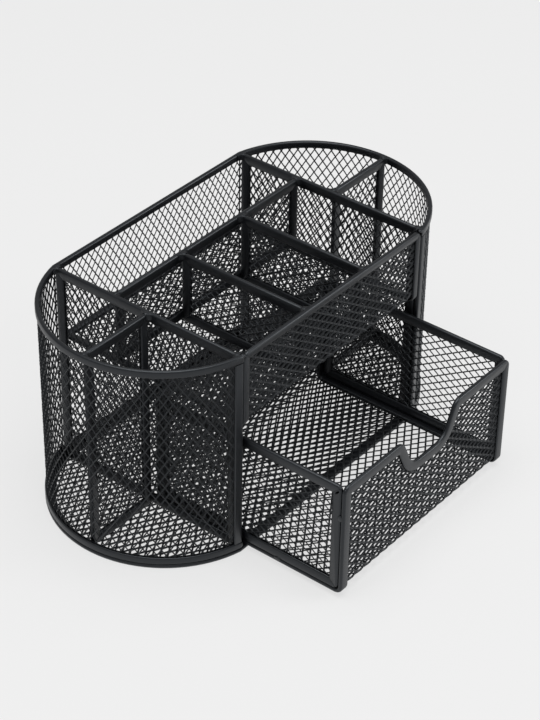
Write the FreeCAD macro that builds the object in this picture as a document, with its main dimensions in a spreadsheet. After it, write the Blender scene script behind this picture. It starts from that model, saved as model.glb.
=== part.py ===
import FreeCAD, Part
import math
import os

import Sketcher
from FreeCAD import Placement, Rotation, Vector

# Pen stand with drawer, in black steel mesh. Every mesh sheet has its edges in a
# folded strip, and the bound panels stand on a flat base and meet face to face.
# X runs along the stand, the drawer opens towards -Y, and Z = 0 is the desk.
# The origin is under the middle of the stand with its drawer open as it rests here.

# Driving sizes in millimetres, and angles in degrees
SIZES = {
    # The stand as a whole
    "overall_length": 220.0,
    "overall_depth": 111.0,
    "overall_height": 109.0,
    "end_bulge": 44.0,            # how far a rounded end stands out past its cross panel
    # Strips and sheets
    "strip_thick": 2.2,
    "strip_width": 5.0,
    "rim_width": 3.8,             # the same on the wall and on the shelf's folded sheet
    "post_width": 4.4,            # and on the wall's two front ends
    "strip_corner": 3.0,          # outer radius where a strip turns a corner
    "sheet_thick": 0.8,
    "edge_grip": 2.2,             # how far a sheet reaches into its strip
    "sheet_clearance": 0.15,      # between a sheet and the groove that holds it
    "seam_gap": 0.2,
    "overrun": 1.0,               # how far cuts run past what they cut
    # Openings of the mesh, at about twice their real pitch
    "gap_long_pitch": 14.4,
    "gap_short_pitch": 9.2,
    "gap_bar": 1.4,
    # Panels inside the stand
    "long_divider_place": 18.2,   # behind the middle of the stand's depth, on the shelf
    "end_divider_place": 2.2,     # in front of it
    "near_pen_divider_place": 20.4,
    "far_pen_divider_place": 22.1,
    "shelf_height": 70.9,
    "fold_radius": 4.0,           # outer radius where a bound sheet is folded
    "panel_gap": 0.3,
    # The drawer
    "drawer_length": 126.0,
    "drawer_depth": 108.0,
    "drawer_height": 60.0,
    "drawer_gap": 0.3,
    "drawer_open": 54.5,
    "notch_depth": 17.0,
    "notch_bottom_half": 6.5,
    "notch_shoulder_radius": 6.0,
    "notch_root_radius": 9.0,
    "notch_angle": 65.0,
}

SHEET = "Sizes"


class Size:
    """A length that holds its value and the expression that gives it from the sheet."""

    def __init__(self, text, value):
        self.text = text
        self.value = value

    def __add__(self, other):
        return Size(f"({self.text} + {text_of(other)})", self.value + value_of(other))

    def __sub__(self, other):
        return Size(f"({self.text} - {text_of(other)})", self.value - value_of(other))

    def __mul__(self, other):
        return Size(f"({self.text} * {text_of(other)})", self.value * value_of(other))

    def __truediv__(self, other):
        return Size(f"({self.text} / {text_of(other)})", self.value / value_of(other))

    def __radd__(self, other):
        return self + other

    def __rsub__(self, other):
        return Size(f"({text_of(other)} - {self.text})", value_of(other) - self.value)

    def __rmul__(self, other):
        return self * other

    def __neg__(self):
        return Size(f"(-{self.text})", -self.value)


def text_of(amount):
    return amount.text if isinstance(amount, Size) else str(amount)


def value_of(amount):
    return amount.value if isinstance(amount, Size) else amount


def root(amount):
    return Size(f"sqrt({amount.text})", math.sqrt(amount.value))


def sine(angle):
    return Size(f"sin({angle.text})", math.sin(math.radians(angle.value)))


def cosine(angle):
    return Size(f"cos({angle.text})", math.cos(math.radians(angle.value)))


doc = FreeCAD.newDocument("PenStand")
sheet = doc.addObject("Spreadsheet::Sheet", SHEET)
for row, (alias, amount) in enumerate(SIZES.items(), start=1):
    sheet.set(f"A{row}", alias)
    sheet.set(f"B{row}", str(amount))
    sheet.setAlias(f"B{row}", alias)
doc.recompute()


def cell(alias):
    return Size(f"{SHEET}.{alias}", float(sheet.get(alias)))


length = cell("overall_length")
depth = cell("overall_depth")
height = cell("overall_height")
end_bulge = cell("end_bulge")
thick = cell("strip_thick")
width = cell("strip_width")
rim_width = cell("rim_width")
post_width = cell("post_width")
corner = cell("strip_corner")
sheet_thick = cell("sheet_thick")
edge_grip = cell("edge_grip")
sheet_clearance = cell("sheet_clearance")
seam_gap = cell("seam_gap")
overrun = cell("overrun")
long_pitch = cell("gap_long_pitch").value
short_pitch = cell("gap_short_pitch").value
gap_bar = cell("gap_bar").value
long_divider_place = cell("long_divider_place")
end_divider_place = cell("end_divider_place")
shelf_height = cell("shelf_height")
fold_radius = cell("fold_radius")
panel_gap = cell("panel_gap")
drawer_length = cell("drawer_length")
drawer_depth = cell("drawer_depth")
drawer_height = cell("drawer_height")
drawer_gap = cell("drawer_gap")
drawer_open = cell("drawer_open")
notch_depth = cell("notch_depth")
notch_bottom_half = cell("notch_bottom_half")
shoulder_radius = cell("notch_shoulder_radius")
root_radius = cell("notch_root_radius")
notch_angle = cell("notch_angle")

half_length = length / 2
half_depth = depth / 2
straight_half = half_length - end_bulge
end_radius = (half_depth * half_depth + end_bulge * end_bulge) / (end_bulge * 2)
end_centre = half_length - end_radius
middle = thick / 2                              # a sheet lies midway in its strip
groove_width = sheet_thick + sheet_clearance * 2
groove_depth = edge_grip + sheet_clearance
sheet_edge = width - edge_grip                  # from a strip's outer edge to the sheet's
groove_edge = width - groove_depth
rim_sheet_edge = rim_width - edge_grip
rim_groove_edge = rim_width - groove_depth
inner_half = straight_half - middle             # the cross panels' inner faces
stand_shift = drawer_open / 2


# Plan of the wall: rounded ends between straight sides, at an inset from its outer face

def wall_side(place, inset):
    """Half depth of a rounded end at a distance along the stand."""
    radius = end_radius - inset
    reach = place - end_centre
    return root(radius * radius - reach * reach)


def wall_corner(inset):
    """Where a rounded end meets the straight side, along the stand."""
    radius = end_radius - inset
    side = half_depth - inset
    return end_centre + root(radius * radius - side * side)


# An outline is a run of lines and arcs, each (start, end, radius, turn): the turn is 1
# for an arc that bends left, -1 for one that bends right and 0 for a line

def line(start, end):
    return (start, end, None, 0)


def arc(start, end, radius, turn):
    return (start, end, radius, turn)


def reverse(run):
    return [(end, start, radius, -turn) for start, end, radius, turn in reversed(run)]


def polygon(points):
    return [line(start, end) for start, end in zip(points, points[1:] + points[:1])]


def rectangle(left, low, right, high):
    return polygon([(left, low), (right, low), (right, high), (left, high)])


def rounded_rectangle(left, low, right, high, radius):
    return [
        line((left + radius, low), (right - radius, low)),
        arc((right - radius, low), (right, low + radius), radius, 1),
        line((right, low + radius), (right, high - radius)),
        arc((right, high - radius), (right - radius, high), radius, 1),
        line((right - radius, high), (left + radius, high)),
        arc((left + radius, high), (left, high - radius), radius, 1),
        line((left, high - radius), (left, low + radius)),
        arc((left, low + radius), (left + radius, low), radius, 1),
    ]


def wall_round(inset):
    """The two rounded ends and the rear side, from the near front to the far front."""
    place = wall_corner(inset)
    side = half_depth - inset
    radius = end_radius - inset
    return [
        arc((-place, -side), (-place, side), radius, -1),
        line((-place, side), (place, side)),
        arc((place, side), (place, -side), radius, -1),
    ]


def base_outline(inset):
    run = wall_round(inset)
    return run + [line(run[-1][1], run[0][0])]


def end_band(side, outer, inner, run_on=None):
    """Plan of the near (-1) or far (1) end's wall between two insets, back to the rear side."""
    runs = []
    for inset in (outer, inner):
        across = half_depth - inset
        place = wall_corner(inset)
        start = inner_half if run_on is None else inner_half - run_on
        run = [
            line((start * side, -across), (place * side, -across)),
            arc((place * side, -across), (place * side, across), end_radius - inset, side),
        ]
        if run_on is not None:
            run.append(line((place * side, across), ((place - run_on) * side, across)))
        runs.append(run)
    outside, inside = runs
    closing = line(outside[-1][1], inside[-1][1])
    opening = line(inside[0][0], outside[0][0])
    return outside + [closing] + reverse(inside) + [opening]


def rear_band(outer, inner):
    """Plan of the rear side's wall between two insets, up to the bends."""
    rear = [half_depth - inset for inset in (outer, inner)]
    place = [wall_corner(inset) for inset in (outer, inner)]
    return polygon([(-place[0], rear[0]), (-place[1], rear[1]),
                    (place[1], rear[1]), (place[0], rear[0])])


# The notch in the drawer's front, as an edge at an inset from the front's own top edge

flank_drop = notch_depth - (shoulder_radius + root_radius) * (1 - cosine(notch_angle))
flank_length = flank_drop / sine(notch_angle)
notch_top_half = (notch_bottom_half + (shoulder_radius + root_radius) * sine(notch_angle)
                  + flank_length * cosine(notch_angle))


def notch_run(half_span, inset):
    """Top edge of the drawer's front, from its near side through the notch to its far."""
    top = drawer_height - inset
    bottom = drawer_height - notch_depth - inset
    shoulder = shoulder_radius - inset
    hollow = root_radius + inset
    shoulder_end = notch_top_half - shoulder * sine(notch_angle)
    shoulder_low = top - shoulder * (1 - cosine(notch_angle))
    root_start = notch_bottom_half + hollow * sine(notch_angle)
    root_high = bottom + hollow * (1 - cosine(notch_angle))
    near = [
        line((-half_span, top), (-notch_top_half, top)),
        arc((-notch_top_half, top), (-shoulder_end, shoulder_low), shoulder, -1),
        line((-shoulder_end, shoulder_low), (-root_start, root_high)),
        arc((-root_start, root_high), (-notch_bottom_half, bottom), hollow, 1),
    ]
    across = line((-notch_bottom_half, bottom), (notch_bottom_half, bottom))
    far = [
        ((-end[0], end[1]), (-start[0], start[1]), radius, turn)
        for start, end, radius, turn in reversed(near)
    ]
    return near + [across] + far


def front_outline(half_span, low, inset):
    """The drawer's front below its notched top edge."""
    top_run = notch_run(half_span, inset)
    near_top, far_top = top_run[0][0], top_run[-1][1]
    sides = [
        line(far_top, (half_span, low)),
        line((half_span, low), (-half_span, low)),
        line((-half_span, low), near_top),
    ]
    return top_run + sides


def notch_height(place):
    """Height of the strip's lower edge along the drawer's front, for the mesh."""
    place = abs(place)
    inset = width.value
    top = drawer_height.value - inset
    bottom = top - notch_depth.value
    shoulder = shoulder_radius.value - inset
    hollow = root_radius.value + inset
    angle = math.radians(notch_angle.value)
    shoulder_end = notch_top_half.value - shoulder * math.sin(angle)
    root_start = notch_bottom_half.value + hollow * math.sin(angle)
    if place >= notch_top_half.value:
        return top
    if place >= shoulder_end:
        reach = notch_top_half.value - place
        return top - shoulder + math.sqrt(shoulder ** 2 - reach ** 2)
    if place >= root_start:
        low = bottom + hollow * (1 - math.cos(angle))
        return low + (place - root_start) * math.tan(angle)
    reach = max(place - notch_bottom_half.value, 0)
    return bottom + hollow - math.sqrt(hollow ** 2 - reach ** 2)


# Sketches and features

def curve(start, end, radius, turn):
    """The line or the shorter arc between two corners; an arc always runs to the left."""
    first = Vector(value_of(start[0]), value_of(start[1]), 0)
    last = Vector(value_of(end[0]), value_of(end[1]), 0)
    if not turn:
        return Part.LineSegment(first, last)
    chord = last - first
    left = Vector(-chord.y, chord.x, 0).normalize()
    rise = math.sqrt(radius.value ** 2 - (chord.Length / 2) ** 2)
    centre = first + chord / 2 + left * rise * turn
    if turn < 0:
        first, last = last, first
    angles = [math.atan2(point.y - centre.y, point.x - centre.x) for point in (first, last)]
    circle = Part.Circle(centre, Vector(0, 0, 1), radius.value)
    return Part.ArcOfCircle(circle, angles[0], angles[1])


def tie(sketch, constraint, amount):
    """Add a constraint and bind it to the sheet."""
    place = sketch.addConstraint(constraint)
    if isinstance(amount, Size):
        sketch.setExpression(f"Constraints[{place}]", amount.text)


def draw(sketch, run):
    """Draw a closed outline whose corners and radii are all tied to the sheet."""
    first = sketch.GeometryCount
    sketch.addGeometry([curve(*piece) for piece in run])
    joins = []
    for place, piece in enumerate(run):
        head = 2 if piece[3] < 0 else 1
        before = (place - 1) % len(run)
        tail = 1 if run[before][3] < 0 else 2
        joins.append(Sketcher.Constraint("Coincident", first + place, head, first + before, tail))
    sketch.addConstraint(joins)
    for place, (start, end, radius, turn) in enumerate(run):
        item = first + place
        head = 2 if turn < 0 else 1
        for kind, amount in zip(("DistanceX", "DistanceY"), start):
            limit = Sketcher.Constraint(kind, -1, 1, item, head, value_of(amount))
            tie(sketch, limit, amount)
        if turn:
            tie(sketch, Sketcher.Constraint("Radius", item, radius.value), radius)


def new_body(name, place):
    body = doc.addObject("PartDesign::Body", name)
    body.Label = name
    for axis, amount in zip("xyz", place):
        body.setExpression(f"Placement.Base.{axis}", text_of(amount))
    return body


def new_sketch(body, plane, runs, lift=None):
    """A sketch on one of the body's own planes, raised along the plane's normal."""
    sketch = body.newObject("Sketcher::SketchObject", f"{body.Name}_sketch")
    role = f"{plane}_Plane"
    origin_plane = [item for item in body.Origin.OriginFeatures if item.Role == role][0]
    sketch.AttachmentSupport = (origin_plane, [""])
    sketch.MapMode = "FlatFace"
    if lift is not None:
        sketch.setExpression(".AttachmentOffset.Base.z", text_of(lift))
    for run in runs:
        draw(sketch, run)
    return sketch


def feature(body, kind, sketch, amount, symmetric=False, backwards=False):
    """A Pad or a Pocket of a sketch; each pocket has to take something away."""
    before = body.Shape.Volume if kind == "Pocket" else 0
    item = body.newObject(f"PartDesign::{kind}", f"{body.Name}_{kind.lower()}")
    item.Profile = sketch
    item.SideType = "Symmetric" if symmetric else "One side"
    item.Reversed = backwards
    item.setExpression("Length", amount.text)
    doc.recompute()
    if kind == "Pocket" and not body.Shape.Volume < before:
        raise RuntimeError(f"{item.Label} cuts nothing")
    return item


def pad(body, *args, **options):
    return feature(body, "Pad", *args, **options)


def pocket(body, *args, **options):
    return feature(body, "Pocket", *args, **options)


def round_top_corners(body, base, half_span, top, radius):
    """Fillet the short edges at the two upper corners of a plate that stands across X."""
    slack = overrun.value / 2
    names = []
    for number, edge in enumerate(base.Shape.Edges, start=1):
        ends = [vertex.Point for vertex in edge.Vertexes]
        high = all(end.z > top.value - slack for end in ends)
        outer = all(abs(end.x) > half_span.value - slack for end in ends)
        if high and outer and edge.Length < half_span.value:
            names.append(f"Edge{number}")
    fillet = body.newObject("PartDesign::Fillet", f"{body.Name}_round")
    fillet.Base = (base, names)
    fillet.setExpression("Radius", radius.text)
    doc.recompute()


# Mesh sheets: one face with diamond openings, given its thickness

FLAT_TURN = {
    "XY": Rotation(),
    "XZ": Rotation(Vector(1, 0, 0), Vector(0, 0, 1), Vector(0, -1, 0), "XYZ"),
    "YZ": Rotation(Vector(0, 1, 0), Vector(0, 0, 1), Vector(1, 0, 0), "XYZ"),
}

gap_counts = {}


def diamonds(left, low, right, high, tall, inside=None):
    """Whole diamond openings that fill a window, as four corners each."""
    pitch_across, pitch_up = (short_pitch, long_pitch) if tall else (long_pitch, short_pitch)
    columns = max(1, round((right - left) / pitch_across))
    rows = max(1, round((high - low) / pitch_up))
    across = (right - left) / columns
    up = (high - low) / rows
    shrink = 1 - gap_bar * math.hypot(across, up) / (across * up)
    found = []
    for column in range(2 * columns - 1):
        for row in range(column % 2, 2 * rows - 1, 2):
            middle_x = left + (column + 1) * across / 2
            middle_y = low + (row + 1) * up / 2
            half_x = across / 2 * shrink
            half_y = up / 2 * shrink
            corners = [
                (middle_x - half_x, middle_y), (middle_x, middle_y - half_y),
                (middle_x + half_x, middle_y), (middle_x, middle_y + half_y),
            ]
            if inside is None or all(inside(x, y) for x, y in corners):
                found.append(corners)
    return found


def flat_wire(run):
    edges = [curve(*piece).toShape() for piece in run]
    return Part.Wire(Part.__sortEdges__(edges))


def flat_net(name, run, openings):
    """A sheet about the XY plane with an outline and its openings."""
    wires = [flat_wire(run)]
    for corners in openings:
        points = [Vector(x, y, 0) for x, y in corners]
        wires.append(Part.makePolygon(points + points[:1]))
    gap_counts[name] = gap_counts.get(name, 0) + len(openings)
    face = Part.Face(wires, "Part::FaceMakerBullseye")
    face.translate(Vector(0, 0, -sheet_thick.value / 2))
    return face.extrude(Vector(0, 0, sheet_thick.value))


def add_sheet(name, shape, place, turn=None):
    item = doc.addObject("Part::Feature", name)
    item.Label = name
    item.Shape = shape
    item.Placement = Placement(Vector(*[value_of(amount) for amount in place]), turn or Rotation())
    return item


def place_in_plane(shape, plane, place):
    """A flat sheet turned into a plane and moved, as part of a folded sheet."""
    moved = shape.copy()
    moved.Placement = Placement(Vector(*[value_of(amount) for amount in place]), FLAT_TURN[plane])
    return moved


def fold(start, centre, end, half_span):
    """The curved part of a folded sheet, about an axis along X, between two directions."""
    radius = fold_radius.value - middle.value
    half = sheet_thick.value / 2
    centre = Vector(0, centre[0].value, centre[1].value)
    between = (start + end).normalize()
    rims = []
    for reach in (radius - half, radius + half):
        points = [centre + direction * reach for direction in (start, between, end)]
        rims.append(Part.Arc(*points).toShape())
    inner, outer = rims
    ends = [
        Part.LineSegment(inner.Vertexes[place].Point, outer.Vertexes[place].Point).toShape()
        for place in (0, 1)
    ]
    face = Part.Face(Part.Wire(Part.__sortEdges__([inner, outer] + ends)))
    face.translate(Vector(-half_span.value, 0, 0))
    return face.extrude(Vector(2 * half_span.value, 0, 0))


# Flat panels: a mesh sheet in a strip bent round its four edges

def bound_panel(name, plane, span, rise, place, tall=True):
    """A panel with its lower near corner at its place; tall tells how its openings stand."""
    frame = new_body(f"{name}_frame", place)
    outline = rounded_rectangle(0, 0, span, rise, corner)
    window = rectangle(width, width, span - width, rise - width)
    pad(frame, new_sketch(frame, plane, [outline, window]), thick, symmetric=True)
    groove = rectangle(groove_edge, groove_edge, span - groove_edge, rise - groove_edge)
    pocket(frame, new_sketch(frame, plane, [groove]), groove_width, symmetric=True)
    sheet_run = rectangle(sheet_edge, sheet_edge, span - sheet_edge, rise - sheet_edge)
    inset = width.value
    openings = diamonds(inset, inset, span.value - inset, rise.value - inset, tall)
    net = flat_net(f"{name}_mesh", sheet_run, openings)
    return frame, add_sheet(f"{name}_mesh", net, place, FLAT_TURN[plane])


panel_rise = height - thick
cross_half = wall_side(straight_half + middle, thick)


def build_cross_panels():
    for name, place in (("near_cross", -straight_half), ("far_cross", straight_half)):
        corner_place = (place, stand_shift - cross_half, thick)
        bound_panel(name, "YZ", cross_half * 2, panel_rise, corner_place)


def build_end_dividers():
    outer_end = half_length - thick - seam_gap
    inner_end = straight_half + middle
    for name, start in (("near_end_divider", -outer_end), ("far_end_divider", inner_end)):
        corner_place = (start, stand_shift - end_divider_place, thick)
        bound_panel(name, "XZ", outer_end - inner_end, panel_rise, corner_place)


shelf_top = shelf_height + middle
front_inside = half_depth - thick
shelf_back = front_inside - panel_gap
divider_rise = height - shelf_top


def build_long_divider():
    corner_place = (-inner_half, stand_shift + long_divider_place, shelf_top)
    bound_panel("long_divider", "XZ", inner_half * 2, divider_rise, corner_place, False)


def build_pen_dividers():
    places = {"near_pen_divider": -cell("near_pen_divider_place"),
              "far_pen_divider": cell("far_pen_divider_place")}
    span = front_inside + long_divider_place - middle
    for name, place in places.items():
        corner_place = (place, stand_shift - front_inside, shelf_top)
        bound_panel(name, "YZ", span, divider_rise, corner_place, False)


# The wall: one sheet round both ends and the back, in strips on all its edges

def build_rims():
    """Strips round the wall's two long edges, each in three parts that meet at the bends."""
    outer = middle - groove_width / 2
    inner = middle + groove_width / 2
    groove_end = wall_corner(0) + overrun
    plans = {
        "near_end": (end_band(-1, 0, thick), end_band(-1, outer, inner, overrun)),
        "rear": (rear_band(0, thick),
                 rectangle(-groove_end, half_depth - inner, groove_end, half_depth - outer)),
        "far_end": (end_band(1, 0, thick), end_band(1, outer, inner, overrun)),
    }
    levels = (("bottom_rim", thick, True), ("top_rim", height - rim_width, False))
    for level, lift, cut_down in levels:
        for stretch, (plan, groove) in plans.items():
            rim = new_body(f"{level}_{stretch}", (0, stand_shift, lift))
            pad(rim, new_sketch(rim, "XY", [plan]), rim_width)
            groove_plane = new_sketch(rim, "XY", [groove], rim_width if cut_down else 0)
            pocket(rim, groove_plane, groove_depth, backwards=not cut_down)


post_low = thick + rim_width
post_rise = height - rim_width - post_low
post_place = inner_half + post_width


def post_plan(side, first, last, outer, inner):
    """Plan of a stretch of rounded wall, on the near (-1) or the far (1) side."""
    points = {}
    for inset in (outer, inner):
        points[inset] = [(place * side, -wall_side(place, inset)) for place in (first, last)]
    return [
        arc(points[outer][0], points[outer][1], end_radius - outer, side),
        line(points[outer][1], points[inner][1]),
        arc(points[inner][1], points[inner][0], end_radius - inner, -side),
        line(points[inner][0], points[outer][0]),
    ]


def build_posts():
    for name, side in (("near_front_post", -1), ("far_front_post", 1)):
        post = new_body(name, (0, stand_shift, post_low))
        front = -half_depth
        back = -front_inside
        turn_out = wall_corner(0)
        turn_in = wall_corner(thick)
        plan = [
            line((inner_half * side, front), (turn_out * side, front)),
            arc((turn_out * side, front), (post_place * side, -wall_side(post_place, 0)),
                end_radius, side),
            line((post_place * side, -wall_side(post_place, 0)),
                 (post_place * side, -wall_side(post_place, thick))),
            arc((post_place * side, -wall_side(post_place, thick)), (turn_in * side, back),
                end_radius - thick, -side),
            line((turn_in * side, back), (inner_half * side, back)),
            line((inner_half * side, back), (inner_half * side, front)),
        ]
        pad(post, new_sketch(post, "XY", [plan]), post_rise)
        groove = post_plan(side, post_place - groove_depth, post_place + overrun,
                           middle - groove_width / 2, middle + groove_width / 2)
        pocket(post, new_sketch(post, "XY", [groove]), post_rise, backwards=True)


wall_net_low = thick + rim_width - edge_grip
wall_net_high = height - rim_width + edge_grip
window_low = thick + rim_width
window_high = height - rim_width


def build_rear_net():
    half_span = wall_corner(middle) - seam_gap / 2
    run = rectangle(-half_span, wall_net_low, half_span, wall_net_high)
    inset = gap_bar / 2
    openings = diamonds(-half_span.value + inset, window_low.value,
                        half_span.value - inset, window_high.value, True)
    place = (0, stand_shift + half_depth - middle, 0)
    add_sheet("rear_mesh", flat_net("rear_mesh", run, openings), place, FLAT_TURN["XZ"])


# The sheet round each end is kept in four stretches that meet edge to edge
END_STRETCHES = ("front", "front_middle", "rear_middle", "rear")


def build_end_nets():
    """The rounded ends: stretches of a curved sheet, with openings that point at its axis."""
    radius = (end_radius - middle).value
    half = sheet_thick.value / 2
    front = -math.asin(wall_side(post_place - edge_grip, middle).value / radius)
    rear = math.asin((half_depth - middle).value / radius)
    window_front = -math.asin(wall_side(post_place, middle).value / radius)
    stretch = (rear - window_front) / len(END_STRETCHES)
    seam = seam_gap.value / 2 / radius
    bar = gap_bar / 2 / radius
    low, high = wall_net_low.value, wall_net_high.value
    outward = Vector(-1, 0, 0)
    along = Vector(0, 1, 0)
    axis = Vector(-end_centre.value, 0, 0)

    def direction(angle):
        return outward * math.cos(angle) + along * math.sin(angle)

    def curved_wall(first, last):
        rims = []
        for reach in (radius - half, radius + half):
            points = [axis + direction(angle) * reach for angle in (first, (first + last) / 2, last)]
            rims.append(Part.Arc(*points).toShape())
        ends = [
            Part.LineSegment(axis + direction(angle) * (radius - half),
                             axis + direction(angle) * (radius + half)).toShape()
            for angle in (first, last)
        ]
        plan = Part.Face(Part.Wire(Part.__sortEdges__(rims + ends)))
        plan.translate(Vector(0, 0, low))
        return plan.extrude(Vector(0, 0, high - low))

    for number, stretch_name in enumerate(END_STRETCHES):
        first = window_front + number * stretch
        last = first + stretch
        openings = diamonds((first + bar) * radius, window_low.value,
                            (last - bar) * radius, window_high.value, True)
        cutters = []
        for corners in openings:
            angle = corners[1][0] / radius
            across = along * math.cos(angle) - outward * math.sin(angle)
            centre = axis + direction(angle) * (radius - 2 * half)
            points = [centre + across * (x - corners[1][0]) + Vector(0, 0, y) for x, y in corners]
            outline = Part.Face(Part.makePolygon(points + points[:1]))
            cutters.append(outline.extrude(direction(angle) * (4 * half)))
        edge = front if number == 0 else first + seam
        near = curved_wall(edge, last - seam).cut(cutters)
        far = near.mirror(Vector(0, 0, 0), Vector(1, 0, 0))
        for side, shape in (("near", near), ("far", far)):
            name = f"{side}_end_mesh_{stretch_name}"
            gap_counts[name] = len(openings)
            add_sheet(name, shape, (0, stand_shift, 0))


# The flat base

def build_base():
    rim = new_body("base_rim", (0, stand_shift, 0))
    outlines = [base_outline(0), base_outline(width)]
    pad(rim, new_sketch(rim, "XY", outlines), thick)
    groove = new_sketch(rim, "XY", [base_outline(groove_edge)], middle)
    pocket(rim, groove, groove_width, symmetric=True)

    side = (half_depth - width).value
    inner_radius = (end_radius - width).value
    end_place = half_length.value - width.value

    def inside(x, y):
        reach = max(abs(x) - end_centre.value, 0)
        return abs(y) < side and math.hypot(reach, y) < inner_radius

    openings = diamonds(-end_place, -side, end_place, side, False, inside)
    net = flat_net("base_mesh", base_outline(sheet_edge), openings)
    add_sheet("base_mesh", net, (0, stand_shift, middle))


# The upper front panel and the shelf, one folded sheet with a strip round its edges

front_half = inner_half - panel_gap


def folded_profile(inset, front_high, back_end):
    """Section of the front panel and the shelf between an inset and its mirror in a strip."""
    front = -half_depth
    low = shelf_height - middle
    outer = inset
    inner = thick - inset
    return [
        line((front + outer, front_high), (front + outer, low + fold_radius)),
        arc((front + outer, low + fold_radius), (front + fold_radius, low + outer),
            fold_radius - outer, 1),
        line((front + fold_radius, low + outer), (back_end, low + outer)),
        line((back_end, low + outer), (back_end, low + inner)),
        line((back_end, low + inner), (front + fold_radius, low + inner)),
        arc((front + fold_radius, low + inner), (front + inner, low + fold_radius),
            fold_radius - inner, -1),
        line((front + inner, low + fold_radius), (front + inner, front_high)),
        line((front + inner, front_high), (front + outer, front_high)),
    ]


def build_shelf():
    channel = new_body("shelf_channel", (0, stand_shift, 0))
    front = -half_depth
    low = shelf_height - middle
    profile = folded_profile(0, height, shelf_back)
    plate = pad(channel, new_sketch(channel, "YZ", [profile]), front_half * 2, symmetric=True)
    round_top_corners(channel, plate, front_half, height, fold_radius)
    windows = polygon([
        (front - overrun, low - overrun),
        (shelf_back - rim_width, low - overrun),
        (shelf_back - rim_width, low + fold_radius),
        (front + fold_radius, low + fold_radius),
        (front + fold_radius, height - rim_width),
        (front - overrun, height - rim_width),
    ])
    pocket(channel, new_sketch(channel, "YZ", [windows]), (front_half - rim_width) * 2,
           symmetric=True)
    groove = folded_profile(middle - groove_width / 2, height - rim_groove_edge,
                            shelf_back - rim_groove_edge)
    pocket(channel, new_sketch(channel, "YZ", [groove]), (front_half - rim_groove_edge) * 2,
           symmetric=True)

    half_span = front_half - rim_sheet_edge
    front_run = rectangle(-half_span, low + fold_radius, half_span, height - rim_sheet_edge)
    window_half = (front_half - rim_width).value
    front_openings = diamonds(-window_half, (low + fold_radius).value, window_half,
                              (height - rim_width).value, False)
    front_net = flat_net("front_panel_mesh", front_run, front_openings)
    shelf_run = rectangle(-half_span, front + fold_radius, half_span,
                          shelf_back - rim_sheet_edge)
    shelf_openings = diamonds(-window_half, (front + fold_radius).value, window_half,
                              (shelf_back - rim_width).value, False)
    shelf_net = flat_net("shelf_mesh", shelf_run, shelf_openings)
    upright = place_in_plane(front_net, "XZ", (0, front + middle, 0))
    turned = fold(Vector(0, -1, 0), (front + fold_radius, low + fold_radius), Vector(0, 0, -1),
                  half_span)
    add_sheet("front_panel_mesh", upright.fuse(turned), (0, stand_shift, 0))
    add_sheet("shelf_mesh", shelf_net, (0, stand_shift, shelf_height))


# The drawer: a folded sheet for front, floor and back, between two flat side panels

drawer_half = drawer_length / 2
drawer_place = (0, stand_shift - half_depth - drawer_open, thick + drawer_gap)


def tray_profile(inset, front_high, back_high):
    """Section of the tray between an inset and its mirror in a strip."""
    inner = thick - inset
    back = drawer_depth
    return [
        line((inset, front_high), (inset, fold_radius)),
        arc((inset, fold_radius), (fold_radius, inset), fold_radius - inset, 1),
        line((fold_radius, inset), (back - fold_radius, inset)),
        arc((back - fold_radius, inset), (back - inset, fold_radius), fold_radius - inset, 1),
        line((back - inset, fold_radius), (back - inset, back_high)),
        line((back - inset, back_high), (back - inner, back_high)),
        line((back - inner, back_high), (back - inner, fold_radius)),
        arc((back - inner, fold_radius), (back - fold_radius, inner), fold_radius - inner, -1),
        line((back - fold_radius, inner), (fold_radius, inner)),
        arc((fold_radius, inner), (inner, fold_radius), fold_radius - inner, -1),
        line((inner, fold_radius), (inner, front_high)),
        line((inner, front_high), (inset, front_high)),
    ]


def build_tray_channel():
    channel = new_body("drawer_tray_channel", drawer_place)
    profile = tray_profile(0, drawer_height, drawer_height)
    plate = pad(channel, new_sketch(channel, "YZ", [profile]), drawer_length, symmetric=True)
    round_top_corners(channel, plate, drawer_half, drawer_height, fold_radius)
    window_half = drawer_half - width
    floor_window = polygon([
        (-overrun, -overrun),
        (drawer_depth + overrun, -overrun),
        (drawer_depth + overrun, drawer_height - width),
        (drawer_depth - fold_radius, drawer_height - width),
        (drawer_depth - fold_radius, fold_radius),
        (-overrun, fold_radius),
    ])
    pocket(channel, new_sketch(channel, "YZ", [floor_window]), window_half * 2, symmetric=True)
    front_window = front_outline(window_half, fold_radius - overrun, width)
    pocket(channel, new_sketch(channel, "XZ", [front_window]), fold_radius)
    notch_edge = notch_run(drawer_half, 0)[1:-1]
    near_top, far_top = notch_edge[0][0], notch_edge[-1][1]
    above = drawer_height + overrun
    notch = notch_edge + [
        line(far_top, (notch_top_half, above)),
        line((notch_top_half, above), (-notch_top_half, above)),
        line((-notch_top_half, above), near_top),
    ]
    pocket(channel, new_sketch(channel, "XZ", [notch]), fold_radius)
    groove_half = drawer_half - groove_edge
    groove_inset = middle - groove_width / 2
    floor_groove = tray_profile(groove_inset, fold_radius + overrun,
                                drawer_height - groove_edge)
    pocket(channel, new_sketch(channel, "YZ", [floor_groove]), groove_half * 2, symmetric=True)
    front_groove = front_outline(groove_half, fold_radius - overrun, groove_edge)
    pocket(channel, new_sketch(channel, "XZ", [front_groove], -middle), groove_width,
           symmetric=True)


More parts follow.
